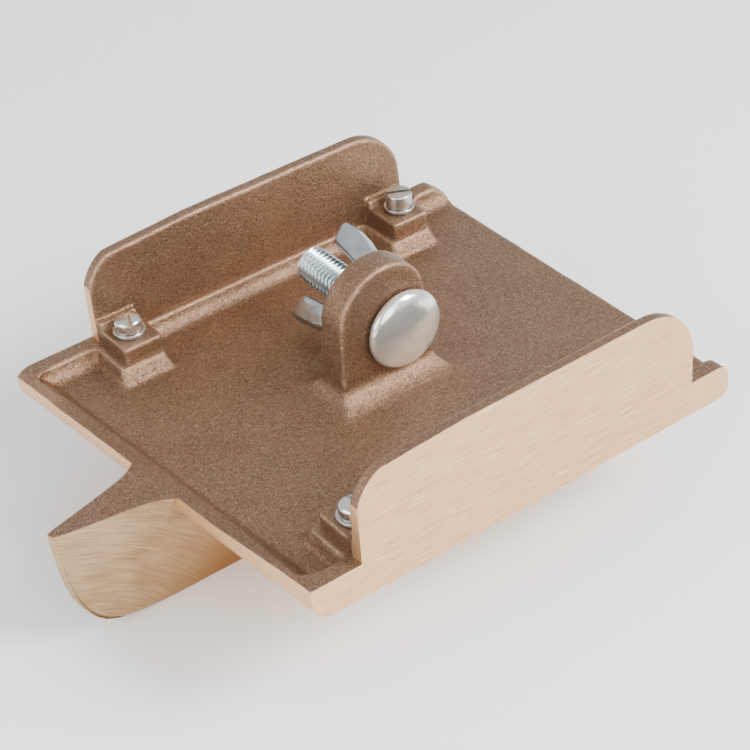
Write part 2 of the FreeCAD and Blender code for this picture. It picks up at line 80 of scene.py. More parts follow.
# ---- Base casting: plate, rails, bosses, lug and keel, one sand casting in bronze ------------
# The blank is built up from blocks with metal to spare, melted into one skin with soft edges
# and fillets, and then ground: its sides, front face, sole and keel are cut back to clean faces.
base_low, base_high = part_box("base_casting")
curb_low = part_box("side_plate_right")[0]
side = base_high.x                    # the ground sides stand at plus and minus this
rail = curb_low.z                     # top of the side rails, where the curbs stand
front = curb_low.y - 24.0 * mm        # middle of the front edge
back = base_high.y
tray = rail - 5.5 * mm                # the tray's floor
sole = rail - 12.7 * mm
skew = 5.5 * mm                       # the left front corner leads by this, the right one trails
spare = 2.0 * mm                      # metal that grinding takes off
lug_y = front + 87.2 * mm
lug_face = 6.3 * mm
screw_x = side - 13.2 * mm
foot_starts = {"front": 24.0 * mm, "back": 136.3 * mm}
screw_starts = {"front": 31.5 * mm, "back": 145.2 * mm}


def pick(thing):
    """Make one object the only selected and the active one."""
    bpy.ops.object.select_all(action="DESELECT")
    thing.select_set(True)
    bpy.context.view_layer.objects.active = thing
    return thing


def block(name, low, high):
    """A box between two corners, with its place in its mesh."""
    bpy.ops.object.select_all(action="DESELECT")
    low, high = Vector(low), Vector(high)
    bpy.ops.mesh.primitive_cube_add(size=1.0, location=(low + high) / 2, scale=high - low)
    bpy.ops.object.transform_apply(location=True, rotation=True, scale=True)
    thing = bpy.context.object
    thing.name = name
    return thing


def drum(name, centre, radius, depth, axis="Z", corners=64):
    """A capped cylinder about a row axis, centred on a point."""
    bpy.ops.object.select_all(action="DESELECT")
    turn = {"Z": (0, 0, 0), "X": (0, math.pi / 2, 0)}[axis]
    bpy.ops.mesh.primitive_cylinder_add(vertices=corners, radius=radius, depth=depth, location=centre,
                                        rotation=turn)
    bpy.ops.object.transform_apply(location=True, rotation=True, scale=True)
    thing = bpy.context.object
    thing.name = name
    return thing


def choose(thing, kind, test):
    """In edit mode, select only the vertices, edges or faces that pass a test."""
    bpy.context.tool_settings.mesh_select_mode = (kind == "VERT", kind == "EDGE", kind == "FACE")
    bpy.ops.mesh.select_all(action="DESELECT")
    mesh = bmesh.from_edit_mesh(thing.data)
    for item in {"VERT": mesh.verts, "EDGE": mesh.edges, "FACE": mesh.faces}[kind]:
        item.select_set(test(item))
    mesh.select_flush_mode()
    bmesh.update_edit_mesh(thing.data)


def middle(edge):
    return (edge.verts[0].co + edge.verts[1].co) / 2


def along(edge, axis):
    """Whether an edge runs mostly along a row axis."""
    run = edge.verts[1].co - edge.verts[0].co
    return abs(run[axis]) > 0.8 * run.length


def round_edges(thing, test, radius, segments=8):
    """Round the edges that pass a test."""
    pick(thing)
    bpy.ops.object.mode_set(mode="EDIT")
    choose(thing, "EDGE", test)
    bpy.ops.mesh.bevel(offset=radius, segments=segments, affect="EDGES")
    bpy.ops.object.mode_set(mode="OBJECT")


def flare(thing, level, reach_x, reach_y, height, steps=6):
    """Run the bottom of a block out into a hollow fillet that lies on a level."""
    pick(thing)
    bpy.ops.object.mode_set(mode="EDIT")
    choose(thing, "FACE", lambda face: face.normal.z < -0.9)
    mesh = bmesh.from_edit_mesh(thing.data)
    ring = [vert.co.copy() for vert in mesh.verts if vert.select]
    low, high = Vector(map(min, zip(*ring))), Vector(map(max, zip(*ring)))
    centre, half = (low + high) / 2, (high - low) / 2
    bpy.ops.transform.translate(value=(0, 0, level + height - low.z))
    done = Vector((1, 1))
    for step in range(1, steps + 1):
        turn = math.pi / 2 * step / steps
        out = 1 - math.cos(turn)
        grown = Vector((1 + reach_x * out / half.x, 1 + reach_y * out / half.y))
        drop = height * (math.sin(turn) - math.sin(turn - math.pi / 2 / steps))
        bpy.ops.mesh.extrude_region_move(TRANSFORM_OT_translate={"value": (0, 0, -drop)})
        bpy.ops.transform.resize(value=(grown.x / done.x, grown.y / done.y, 1), center_override=centre)
        done = grown
    bpy.ops.mesh.extrude_region_move(TRANSFORM_OT_translate={"value": (0, 0, -2 * mm)})
    bpy.ops.object.mode_set(mode="OBJECT")


def join(name, things):
    """Join objects into one, their shells kept."""
    pick(things[0])
    for thing in things:
        thing.select_set(True)
    bpy.ops.object.join()
    things[0].name = name
    return things[0]


def carve(thing, tool, operation):
    """Cut, join or limit a closed mesh by another, and drop the other one."""
    pick(thing)
    cutter = thing.modifiers.new("carve", "BOOLEAN")
    cutter.solver = "MANIFOLD"
    cutter.operation = operation
    cutter.object = tool
    bpy.ops.object.modifier_apply(modifier=cutter.name)
    bpy.data.objects.remove(tool, do_unlink=True)


def melt(thing, voxel, passes):
    """Turn overlapping blocks into one skin with soft edges and fillets."""
    pick(thing)
    remesh = thing.modifiers.new("skin", "REMESH")
    remesh.mode = "VOXEL"
    remesh.voxel_size = voxel
    bpy.ops.object.modifier_apply(modifier=remesh.name)
    soft = thing.modifiers.new("soft", "SMOOTH")
    soft.factor = 0.5
    soft.iterations = passes
    bpy.ops.object.modifier_apply(modifier=soft.name)


def roughen(thing, size, depth):
    """Slight hollows and swellings, as sand leaves them."""
    pick(thing)
    cloud = bpy.data.textures.new("sand_" + thing.name, "CLOUDS")
    cloud.noise_scale = size
    cloud.noise_depth = 3
    uneven = thing.modifiers.new("uneven", "DISPLACE")
    uneven.texture = cloud
    uneven.texture_coords = "LOCAL"
    uneven.strength = depth
    uneven.mid_level = 0.5
    bpy.ops.object.modifier_apply(modifier=uneven.name)


def front_at(x):
    """The front edge's place along the tool, at a place across it."""
    return front + skew * x / side


def ease(t):
    t = min(max(t, 0.0), 1.0)
    return t * t * (3 - 2 * t)


# the plate, still without its tray; the front's top edge droops, less so towards the right
plate = block("base_casting_metal", (-side - spare, front - spare, sole - spare),
              (side + spare, back - 0.3 * mm, rail))
for vert in plate.data.vertices:
    if vert.co.y < 0:
        vert.co.y = front_at(vert.co.x) - spare
round_edges(plate, lambda edge: along(edge, 0) and middle(edge).z > sole and middle(edge).y < 0, 7.5 * mm)
for vert in plate.data.vertices:
    if vert.co.y < 0 and vert.co.z > sole and vert.co.x > 0:
        vert.co.z = rail
round_edges(plate, lambda edge: along(edge, 0) and middle(edge).z > sole and middle(edge).y > 0, 5.0 * mm)

# the tray: hollow fillets along the rails, a slope up to the front edge, open at the back
hollow = block("hollow", (-side + 6.3 * mm, front, tray), (side - 6.3 * mm, back + 10 * mm, rail + 1 * mm))
for vert in hollow.data.vertices:
    if vert.co.y < 0:
        foot = vert.co.z < rail - 1 * mm
        vert.co.y = front_at(vert.co.x) + (8.0 if foot else 0.9) * mm
round_edges(hollow, lambda edge: along(edge, 1) and middle(edge).z < rail - 1 * mm, 5.0 * mm)
round_edges(hollow, lambda edge: middle(edge).y < 0 and abs(middle(edge).x) > side - 8 * mm
            and abs((edge.verts[1].co - edge.verts[0].co).z) > 1 * mm, 8.0 * mm, segments=7)
carve(plate, hollow, "DIFFERENCE")

# the rim: a flat band just below the rail tops, from the front edge back to the tray's crease
band = block("band", (-60 * mm, -1 * mm, -1 * mm), (60 * mm, 1 * mm, 1 * mm))
for vert in band.data.vertices:
    left, ahead, low = vert.co.x < 0, vert.co.y < 0, vert.co.z < 0
    if low:
        vert.co.x = (-54 if left else 30) * mm
        vert.co.z = rail - (1.3 if ahead else 3.7) * mm
    else:
        vert.co.x = (-72 if left else 78) * mm
        vert.co.z = rail + 1.5 * mm
    vert.co.y = front_at(vert.co.x) + (-7 if ahead else 8) * mm
carve(plate, band, "DIFFERENCE")

parts = [plate]
for sign in (-1, 1):
    for start in foot_starts.values():
        near_y, far_y = front + start - 2.2 * mm, front + start + 14.4 * mm
        inner, outer = sign * (side - 23.6 * mm), sign * (side - 2 * mm)
        boss = block("boss", (min(inner, outer), near_y, tray), (max(inner, outer), far_y, rail))
        for vert in boss.data.vertices:
            if vert.co.z < rail - 1 * mm:
                vert.co.x += -sign * 2.4 * mm if abs(vert.co.x - inner) < 1 * mm else 0.0
                vert.co.y += 1.2 * mm if vert.co.y > (near_y + far_y) / 2 else -1.2 * mm
        round_edges(boss, lambda edge: middle(edge).z < rail - 1 * mm and middle(edge).z > tray + 1 * mm
                    and abs(middle(edge).x) < side - 20 * mm, 1.8 * mm, 4)
        flare(boss, tray, 2.0 * mm, 1.6 * mm, 1.8 * mm, steps=3)
        parts.append(boss)
hump = block("hump", (-side - spare, front + 156 * mm, tray),
             (-side + 6.3 * mm, front + 169 * mm, rail + 1.6 * mm))
round_edges(hump, lambda edge: along(edge, 0) and middle(edge).z > rail, 4.0 * mm, 5)
parts.append(hump)

# the lug: tapered sides under a round top, on a wide hollow foot
lug = block("lug", (-lug_face, lug_y - 18 * mm, tray), (lug_face, lug_y + 18 * mm, rail + 39.15 * mm))
for vert in lug.data.vertices:
    if vert.co.z > rail:
        vert.co.y = lug_y + (vert.co.y - lug_y) * 0.9
        vert.co.x *= 5.3 / 6.3
    else:
        vert.co.x *= 6.6 / 6.3
round_edges(lug, lambda edge: along(edge, 0) and middle(edge).z > rail
            and middle(edge).y < lug_y, 17.6 * mm, 14)
round_edges(lug, lambda edge: along(edge, 0) and middle(edge).z > rail + 39 * mm
            and middle(edge).y > lug_y + 10 * mm, 13.6 * mm, 12)
flare(lug, tray, 11.0 * mm, 7.0 * mm, 6.4 * mm)
parts.append(lug)

# the keel's blank, and the prow's top that slopes down to its tip
parts.append(block("keel_blank", (-16 * mm, front, base_low.z - spare),
                   (16 * mm, back - 6 * mm, sole + 2 * mm)))
prow = block("prow_blank", (-18 * mm, base_low.y - spare, base_low.z - spare),
             (18 * mm, front + 1 * mm, rail - 2.45 * mm))
for vert in prow.data.vertices:
    if vert.co.z > sole and vert.co.y < front:
        vert.co.z -= 1.8 * mm
parts.append(prow)
casting = join("base_casting_metal", parts)
melt(casting, 0.72 * mm, 7)
roughen(casting, 9.0 * mm, 0.35 * mm)

# what grinding leaves: the plate's sides, front face and sole, with a rounded toe and heel
ground = block("ground", (-side, front, sole), (side, back, rail + 60 * mm))
for vert in ground.data.vertices:
    if vert.co.y < 0:
        vert.co.y = front_at(vert.co.x)
round_edges(ground, lambda edge: along(edge, 0) and middle(edge).z < rail
            and middle(edge).y < 0, 7.5 * mm, 12)
round_edges(ground, lambda edge: along(edge, 0) and middle(edge).z < rail
            and middle(edge).y > 0, 4.3 * mm, 8)


def prow_width(y):
    """Half width of the prow's top: nearly straight, then flaring into the front face."""
    share = min(max((y - base_low.y) / (front - base_low.y), 0.0), 1.0)
    return (1.7 + 7.8 * share ** 1.05 + 3.2 * share ** 12) * mm


def keel_width(y, z):
    """Half width of the keel: hollow sides between its top, or the sole, and its bottom."""
    up = min((z - base_low.z) / (rail - 2.4 * mm - base_low.z), 1.0)
    width = (2.4 + 2.2 * up) * mm
    width += (prow_width(y) - 4.6 * mm) * up ** 4 if y < front else 7.7 * mm * up ** 4
    if y > front:
        width += 5.0 * mm * ease((y - front) / (12 * mm)) * ease((z - sole + 6 * mm) / (7 * mm)) ** 1.5
    return min(width, prow_width(y))


# level by level: height over the keel's bottom, and how far the prow's edge has fallen back
levels = [(0.0, 44.0), (0.15, 36.0), (0.7, 28.0), (1.3, 22.0), (2.2, 16.5), (4.2, 12.2), (7.0, 9.3),
          (10.5, 6.9), (15.0, 4.6), (20.0, 3.0), (26.0, 1.9), (31.0, 1.2), (34.5, 0.8), (38.0, 0.5),
          (40.8, 0.2), (43.4, 0.0), (46.0, 0.0), (52.0, 0.0)]
stations, fore = 48, 28               # points along each side, and how many of them are on the prow
edge_rounding = {0: 0.55, 1: 0.9}     # share of the width left at the prow's first two points
bpy.ops.object.select_all(action="DESELECT")
bpy.ops.mesh.primitive_circle_add(vertices=2 * stations, fill_type="NGON")
keel = bpy.context.object
keel.name = "keel_ground"
bpy.ops.object.mode_set(mode="EDIT")
for number, (height, fallen) in enumerate(levels):
    if number:
        bpy.ops.mesh.extrude_region_move(TRANSFORM_OT_translate={"value": (0, 0, 1 * mm)})
    mesh = bmesh.from_edit_mesh(keel.data)
    mesh.verts.ensure_lookup_table()
    ring = [vert for vert in mesh.verts if vert.select]
    ring.sort(key=lambda vert: vert.index)
    z = base_low.z + height * mm
    start = base_low.y + fallen * mm
    heel = 20.0 * mm
    lift = max(heel - height * mm, 0.0)
    stop = back - 8 * mm - heel + math.sqrt(heel * heel - lift * lift)
    for place, vert in enumerate(ring):
        step = place if place < stations else 2 * stations - 1 - place
        pivot = max(front + 1 * mm, start + 12 * mm)
        if step < fore:
            share = step / fore
            y = start + (pivot - start) * (0.35 * share + 0.65 * (1 - (1 - share) ** 2))
        else:
            y = pivot + (stop - pivot) * ((step - fore) / (stations - 1 - fore)) ** 1.2
        if step == 1:
            y = start + 0.8 * mm
        sign = 1 if place < stations else -1
        width = keel_width(y, z) * edge_rounding.get(step, 1.0)
        vert.co = (sign * width, y, z)
    bmesh.update_edit_mesh(keel.data)
bpy.ops.mesh.select_all(action="SELECT")
bpy.ops.mesh.normals_make_consistent(inside=False)
bpy.ops.object.mode_set(mode="OBJECT")

# The bronze as it leaves the sand: brown, with a fine grain and tiny painted glints (painted highlights),
# brighter on its high edges (partly rubbed wear, partly a painted highlight) and darker and more orange
# in its corners as painted shade. Where it is ground it is pale and pinkish, with long fine scratches along
# the tool; the keel's scratches curve.
def put(tree, kind, links=(), **settings):
    """Add a node; links give its inputs, as sockets to follow or as values to set."""
    node = tree.nodes.new("ShaderNode" + kind)
    for name, setting in settings.items():
        setattr(node, name, setting)
    for name, source in dict(links).items():
        if isinstance(source, bpy.types.NodeSocket):
            tree.links.new(source, node.inputs[name])
        else:
            node.inputs[name].default_value = source
    return node


def new_group(name, inputs, outputs):
    """An empty shader group with its sockets; returns it with its two end nodes."""
    group = bpy.data.node_groups.new(name, "ShaderNodeTree")
    for label, kind in inputs:
        group.interface.new_socket(label, in_out="INPUT", socket_type="NodeSocket" + kind)
    for label, kind in outputs:
        group.interface.new_socket(label, in_out="OUTPUT", socket_type="NodeSocket" + kind)
    return group, group.nodes.new("NodeGroupInput"), group.nodes.new("NodeGroupOutput")


def ranged(tree, source, low, high, low_out=0.0, high_out=1.0):
    """A value spread from one range onto another, and held at its ends."""
    node = put(tree, "MapRange", {"Value": source, "From Min": low, "From Max": high,
                                  "To Min": low_out, "To Max": high_out})
    return node.outputs["Result"]


def blend(tree, share, first, second):
    """One colour fading into another; either may be a colour or a socket."""
    node = put(tree, "Mix", {0: share}, data_type="RGBA")
    for number, colour in ((6, first), (7, second)):
        if isinstance(colour, bpy.types.NodeSocket):
            tree.links.new(colour, node.inputs[number])
        else:
            node.inputs[number].default_value = (*colour, 1.0)
    return node.outputs[2]


def maths(tree, kind, first, second):
    node = put(tree, "Math", {0: first, 1: second}, operation=kind)
    return node.outputs[0]


# sand grain: mottling, tiny painted glints (painted highlights scattered in the grain) and the height of the
# grain
sand_group, sand_in, sand_out = new_group(
    "sand_grain", [("Vector", "Vector"), ("Grain", "Float")],
    [("Mottle", "Float"), ("Glint", "Float"), ("Height", "Float")])
broad = put(sand_group, "TexNoise", {"Vector": sand_in.outputs["Vector"], "Scale": 55.0, "Detail": 5.0,
                                     "Roughness": 0.6})
fine = put(sand_group, "TexNoise", {"Vector": sand_in.outputs["Vector"], "Scale": sand_in.outputs["Grain"],
                                    "Detail": 3.0, "Roughness": 0.7})
pits = put(sand_group, "TexVoronoi", {"Vector": sand_in.outputs["Vector"], "Scale": 750.0})
spots = put(sand_group, "TexVoronoi", {"Vector": sand_in.outputs["Vector"], "Scale": 3000.0})
spot_value = put(sand_group, "SeparateColor", {"Color": spots.outputs["Color"]})
hollows = ranged(sand_group, pits.outputs["Distance"], 0.0, 0.6)
sand_group.links.new(broad.outputs[0], sand_out.inputs["Mottle"])
sand_group.links.new(ranged(sand_group, spot_value.outputs[0], 0.80, 0.98), sand_out.inputs["Glint"])
sand_group.links.new(maths(sand_group, "ADD", maths(sand_group, "MULTIPLY", hollows, 0.35), fine.outputs[0]),
                     sand_out.inputs["Height"])

# how much a place stands out as an edge, or lies in a corner
edge_group, edge_in, edge_out = new_group(
    "edges_and_corners", [("Edge", "Float"), ("Corner", "Float")], [("Edge", "Float"), ("Corner", "Float")])
shape = edge_group.nodes.new("ShaderNodeNewGeometry").outputs["Pointiness"]
edge_group.links.new(ranged(edge_group, shape, 0.505, edge_in.outputs["Edge"]), edge_out.inputs["Edge"])
edge_group.links.new(ranged(edge_group, shape, 0.495, edge_in.outputs["Corner"]), edge_out.inputs["Corner"])

# grinding scratches: fine lines in whatever space they are given, and their height
scratch_group, scratch_in, scratch_out = new_group(
    "scratches", [("Vector", "Vector")], [("Line", "Float"), ("Height", "Float")])
hair = put(scratch_group, "TexNoise", {"Vector": scratch_in.outputs["Vector"], "Scale": 1.0, "Detail": 4.0,
                                       "Roughness": 0.65})
gouge = put(scratch_group, "TexNoise", {"Vector": scratch_in.outputs["Vector"], "Scale": 0.35,
                                        "Detail": 2.0})
scratch_group.links.new(hair.outputs[0], scratch_out.inputs["Line"])
deep = ranged(scratch_group, gouge.outputs[0], 0.62, 0.72)
scratch_group.links.new(maths(scratch_group, "ADD", hair.outputs[0], deep), scratch_out.inputs["Height"])


def metal(name, metallic):
    """A metal with its coordinates, and its shader ready for colour, roughness and relief."""
    material = bpy.data.materials.get(name) or bpy.data.materials.new(name)
    material.use_nodes = True
    tree = material.node_tree
    shader = tree.nodes["Principled BSDF"]
    shader.inputs["Metallic"].default_value = metallic
    place = tree.nodes.new("ShaderNodeTexCoord").outputs["Object"]
    return material, tree, shader, place


def relief(tree, shader, height, depth, strength=1.0):
    """Feed a height into the shader as relief, its depth in metres."""
    bump = put(tree, "Bump", {"Height": height, "Distance": depth, "Strength": strength})
    tree.links.new(bump.outputs["Normal"], shader.inputs["Normal"])


def grouped(tree, group, links):
    node = tree.nodes.new("ShaderNodeGroup")
    node.node_tree = group
    for name, source in links.items():
        if isinstance(source, bpy.types.NodeSocket):
            tree.links.new(source, node.inputs[name])
        else:
            node.inputs[name].default_value = source
    return node


def make_cast_bronze():
    material, tree, shader, place = metal("bronze_as_cast", 0.85)
    sand = grouped(tree, sand_group, {"Vector": place, "Grain": 1800.0})
    edges = grouped(tree, edge_group, {"Edge": 0.56, "Corner": 0.455})
    tone = ranged(tree, sand.outputs["Mottle"], 0.32, 0.68)
    colour = blend(tree, tone, CAST_DARK, CAST_MID)
    grain = ranged(tree, sand.outputs["Height"], 0.35, 0.85)
    colour = blend(tree, maths(tree, "MULTIPLY", grain, 0.55), colour, CAST_LIGHT)
    # painted shade: corners and creases made darker and more orange
    colour = blend(tree, maths(tree, "MULTIPLY", edges.outputs["Corner"], 0.75), colour, CAST_CORNER_SHADE)
    # high edges made brighter: partly rubbed wear, partly a painted highlight
    colour = blend(tree, maths(tree, "MULTIPLY", edges.outputs["Edge"], 0.6), colour, CAST_EDGE_WEAR_AND_HIGHLIGHT)
    # painted glints: small painted highlights scattered through the grain
    colour = blend(tree, maths(tree, "MULTIPLY", sand.outputs["Glint"], 0.40), colour, CAST_PAINTED_GLINT)
    tree.links.new(colour, shader.inputs["Base Color"])
    tree.links.new(ranged(tree, sand.outputs["Height"], 0.3, 0.9, 0.46, 0.32), shader.inputs["Roughness"])
    relief(tree, shader, sand.outputs["Height"], 0.28 * mm)
    return material


def make_ground_bronze():
    material, tree, shader, place = metal("bronze_ground", 0.85)
    stretched = put(tree, "Mapping", {"Vector": place, "Scale": (2600.0, 75.0, 2600.0)})
    marks = grouped(tree, scratch_group, {"Vector": stretched.outputs["Vector"]})
    patch = put(tree, "TexNoise", {"Vector": place, "Scale": 38.0, "Detail": 3.0})
    colour = blend(tree, ranged(tree, patch.outputs[0], 0.35, 0.65), GROUND_TAN, GROUND_PINK)
    colour = blend(tree, ranged(tree, marks.outputs["Line"], 0.42, 0.7), colour, GROUND_PALE)
    tree.links.new(colour, shader.inputs["Base Color"])
    tree.links.new(ranged(tree, marks.outputs["Line"], 0.3, 0.7, 0.34, 0.48), shader.inputs["Roughness"])
    relief(tree, shader, marks.outputs["Height"], 0.05 * mm)
    return material


def make_keel_bronze():
    """Scratches that curve about a point below and ahead of the prow, as a flap wheel leaves them."""
    material, tree, shader, place = metal("bronze_keel", 0.85)
    parts = put(tree, "SeparateXYZ", {"Vector": place})
    flat = put(tree, "CombineXYZ", {"X": 0.0, "Y": parts.outputs["Y"], "Z": parts.outputs["Z"]})
    wheel_centre = (0.0, -0.125, -0.045)
    reach = put(tree, "VectorMath", {0: flat.outputs["Vector"], 1: wheel_centre}, operation="DISTANCE")
    spun = put(tree, "CombineXYZ", {"X": maths(tree, "MULTIPLY", reach.outputs["Value"], 2200.0),
                                    "Y": maths(tree, "MULTIPLY", parts.outputs["Y"], 90.0),
                                    "Z": maths(tree, "MULTIPLY", parts.outputs["X"], 60.0)})
    marks = grouped(tree, scratch_group, {"Vector": spun.outputs["Vector"]})
    patch = put(tree, "TexNoise", {"Vector": place, "Scale": 55.0, "Detail": 4.0})
    colour = blend(tree, ranged(tree, patch.outputs[0], 0.35, 0.68), KEEL_STRAW, KEEL_PALE)
    colour = blend(tree, ranged(tree, marks.outputs["Line"], 0.4, 0.72, 0.0, 0.7), colour, KEEL_LIGHT)
    # more orange towards the keel's bottom, at its rear
    low = ranged(tree, parts.outputs["Z"], 0.024, 0.004)
    rear = ranged(tree, parts.outputs["Y"], -0.085, -0.05)
    low_rear_orange = maths(tree, "MULTIPLY", maths(tree, "MULTIPLY", low, rear), 0.7)
    colour = blend(tree, low_rear_orange, colour, KEEL_ORANGE)
    tree.links.new(colour, shader.inputs["Base Color"])
    tree.links.new(ranged(tree, marks.outputs["Line"], 0.3, 0.7, 0.36, 0.5), shader.inputs["Roughness"])
    relief(tree, shader, marks.outputs["Height"], 0.06 * mm)
    return material


CAST_DARK, CAST_MID, CAST_LIGHT = (0.085, 0.042, 0.022), (0.150, 0.082, 0.045), (0.34, 0.21, 0.13)
# corner colour: painted shade; edge colour: rubbed wear plus a painted highlight; glint colour: painted
# highlight
CAST_CORNER_SHADE, CAST_EDGE_WEAR_AND_HIGHLIGHT, CAST_PAINTED_GLINT = (0.13, 0.045, 0.014), (0.50, 0.31, 0.20), (0.70, 0.52, 0.38)
GROUND_TAN, GROUND_PINK, GROUND_PALE = (0.62, 0.36, 0.165), (0.68, 0.395, 0.205), (0.90, 0.62, 0.37)
KEEL_STRAW, KEEL_PALE, KEEL_LIGHT = (0.34, 0.21, 0.10), (0.46, 0.31, 0.17), (0.68, 0.52, 0.32)
KEEL_ORANGE = (0.32, 0.145, 0.04)
cast_bronze = make_cast_bronze()
ground_bronze = make_ground_bronze()
keel_bronze = make_keel_bronze()
cast_slot, ground_slot, keel_slot = 0, 1, 2


def coat(thing, slot=0, metals=None):
    """Give an object its metals, all its faces in one slot."""
    thing.data.materials.clear()
    for material in metals or (cast_bronze, ground_bronze, keel_bronze):
        thing.data.materials.append(material)
    for face in thing.data.polygons:
        face.material_index = slot
    return thing


coat(casting, cast_slot)
coat(ground, ground_slot)
coat(keel, keel_slot)
carve(ground, keel, "UNION")
carve(casting, ground, "INTERSECT")

# the tapped holes under the feet, and the square hole for the bolt's neck
for sign in (-1, 1):
    for start in screw_starts.values():
        hole = drum("hole", (sign * screw_x, front + start, rail - 4 * mm), 3.2 * mm, 20 * mm, corners=24)
        carve(casting, coat(hole), "DIFFERENCE")
bolt_low, bolt_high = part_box("carriage_bolt")
bolt_y, bolt_z = (bolt_low.y + bolt_high.y) / 2, (bolt_low.z + bolt_high.z) / 2
neck = 6.6 * mm
socket = block("socket", (-15 * mm, bolt_y - neck, bolt_z - neck), (15 * mm, bolt_y + neck, bolt_z + neck))
carve(casting, coat(socket), "DIFFERENCE")
pick(casting)
bpy.ops.object.shade_smooth_by_angle(angle=math.radians(35))
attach(casting, "base")
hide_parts("base_casting")

# ---- Side plates: two cast curbs, each with two feet screwed down on the bosses ---------------
# They are bronze castings like the base. Each is ground flush with the plate's side on its
# outer face, under its feet, and on the lower part of its front end.
for name, sign in (("left", -1), ("right", 1)):
    curb_stop = front + (155.3 if sign > 0 else 153.0) * mm
    inner, outer = sign * (side - 4.0 * mm), sign * (side + spare)
    wall = block("side_plate_" + name + "_metal", (min(inner, outer), front + 23.4 * mm, rail - spare),
                 (max(inner, outer), curb_stop, rail + 33.0 * mm))
    round_edges(wall, lambda edge: along(edge, 0) and middle(edge).z > rail
                and middle(edge).y < 0, 16.5 * mm, 12)
    round_edges(wall, lambda edge: along(edge, 0) and middle(edge).z > rail + 30 * mm
                and middle(edge).y > curb_stop - 1 * mm, 20.0 * mm, 12)
    bpy.ops.object.mode_set(mode="EDIT")
    bpy.ops.mesh.select_all(action="SELECT")
    bpy.ops.mesh.bisect(plane_co=(0, front + 60 * mm, rail + 32.75 * mm), plane_no=(0, -0.055, 1),
                        clear_outer=True, use_fill=True)
    bpy.ops.object.mode_set(mode="OBJECT")
    feet = [wall]
    for start in foot_starts.values():
        tip, root = sign * (side - 22.0 * mm), sign * (side - 2.0 * mm)
        foot = block("foot", (min(tip, root), front + start + 0.3 * mm, rail - spare),
                     (max(tip, root), front + start + 15.0 * mm, rail + 5.5 * mm))
        round_edges(foot, lambda edge: along(edge, 2) and abs(middle(edge).x - tip) < 0.1 * mm, 1.2 * mm, 3)
        web = block("web", (min(tip, root), front + start + 0.5 * mm, rail + 2 * mm),
                    (max(tip, root), front + start + 14.5 * mm, rail + 8.0 * mm))
        for vert in web.data.vertices:
            reach = 6.5 * mm if vert.co.z > rail + 5 * mm else 8.5 * mm
            if abs(vert.co.x - tip) < 0.1 * mm:
                vert.co.x = sign * (side - reach)
        feet += [foot, web]
    wall = join(wall.name, feet)
    melt(wall, 0.6 * mm, 8)
    roughen(wall, 8.0 * mm, 0.3 * mm)
    limit = block("limit", (min(0, sign * side), front + 24.0 * mm, rail),
                  (max(0, sign * side), back, rail + 34 * mm))
    carve(coat(wall, cast_slot), coat(limit, ground_slot), "INTERSECT")
    for start in screw_starts.values():
        hole = drum("hole", (sign * screw_x, front + start, rail), 3.55 * mm, 20 * mm, corners=32)
        carve(wall, coat(hole), "DIFFERENCE")
    pick(wall)
    bpy.ops.object.shade_smooth_by_angle(angle=math.radians(35))
    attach(wall, "base")
    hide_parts("side_plate_" + name)


# ---- Curb screws: slotted 1/4 in machine screws of satin steel -------------------------------
# Each is turned with a fillister head, slotted, and thread-rolled. The front pair has domed and
# polished heads, the back pair flat ones with a small chamfer.
def turned(name, rings, corners=64):
    """A piece turned about Z, from rings given as a radius and a height, from the bottom up."""
    bpy.ops.object.select_all(action="DESELECT")
    radius, height = rings[0]
    bpy.ops.mesh.primitive_circle_add(vertices=corners, radius=radius, fill_type="NGON",
                                      location=(0, 0, height))
    bpy.ops.object.transform_apply(location=True, rotation=True, scale=True)
    thing = bpy.context.object
    thing.name = name
    bpy.ops.object.mode_set(mode="EDIT")
    for wider, higher in rings[1:]:
        bpy.ops.mesh.extrude_region_move(TRANSFORM_OT_translate={"value": (0, 0, higher - height)})
        bpy.ops.transform.resize(value=(wider / radius, wider / radius, 1), center_override=(0, 0, higher))
        radius, height = wider, higher
    bpy.ops.mesh.select_all(action="SELECT")
    bpy.ops.mesh.normals_make_consistent(inside=False)
    bpy.ops.object.mode_set(mode="OBJECT")
    return thing


def threaded(name, radius, pitch, low, high, depth, around=40, steps=9):
    """A right-hand thread about Z from a low to a high end, faded in at the top, cut to a chamfer below."""
    rows = round((high - low) / pitch * steps)
    bpy.ops.object.select_all(action="DESELECT")
    bpy.ops.mesh.primitive_grid_add(x_subdivisions=around, y_subdivisions=rows, size=1.0)
    thing = bpy.context.object
    thing.name = name
    for vert in thing.data.vertices:
        share, up = vert.co.x + 0.5, vert.co.y + 0.5
        turn = 2 * math.pi * share
        z = low + (high - low) * up
        phase = (z / pitch - share) % 1.0
        crest = min(max((abs(2 * phase - 1) - 0.12) / 0.72, 0.0), 1.0)
        fade = ease((high - z) / (1.5 * pitch))
        reach = radius - depth * (1 - crest) * fade
        reach = min(reach, radius - depth * 1.3 + (z - low))
        vert.co = (reach * math.cos(turn), reach * math.sin(turn), z)
    pick(thing)
    bpy.ops.object.mode_set(mode="EDIT")
    bpy.ops.mesh.select_all(action="SELECT")
    bpy.ops.mesh.remove_doubles(threshold=1e-6)
    choose(thing, "EDGE", lambda edge: edge.is_boundary)
    bpy.ops.mesh.edge_face_add()
    bpy.ops.mesh.select_all(action="SELECT")
    bpy.ops.mesh.normals_make_consistent(inside=False)
    bpy.ops.object.mode_set(mode="OBJECT")
    return thing


def settle(thing, matrix):
    """Move a piece to its place, and leave the place in its mesh."""
    pick(thing)
    thing.matrix_world = matrix
    bpy.ops.object.transform_apply(location=True, rotation=True, scale=True)
    return thing


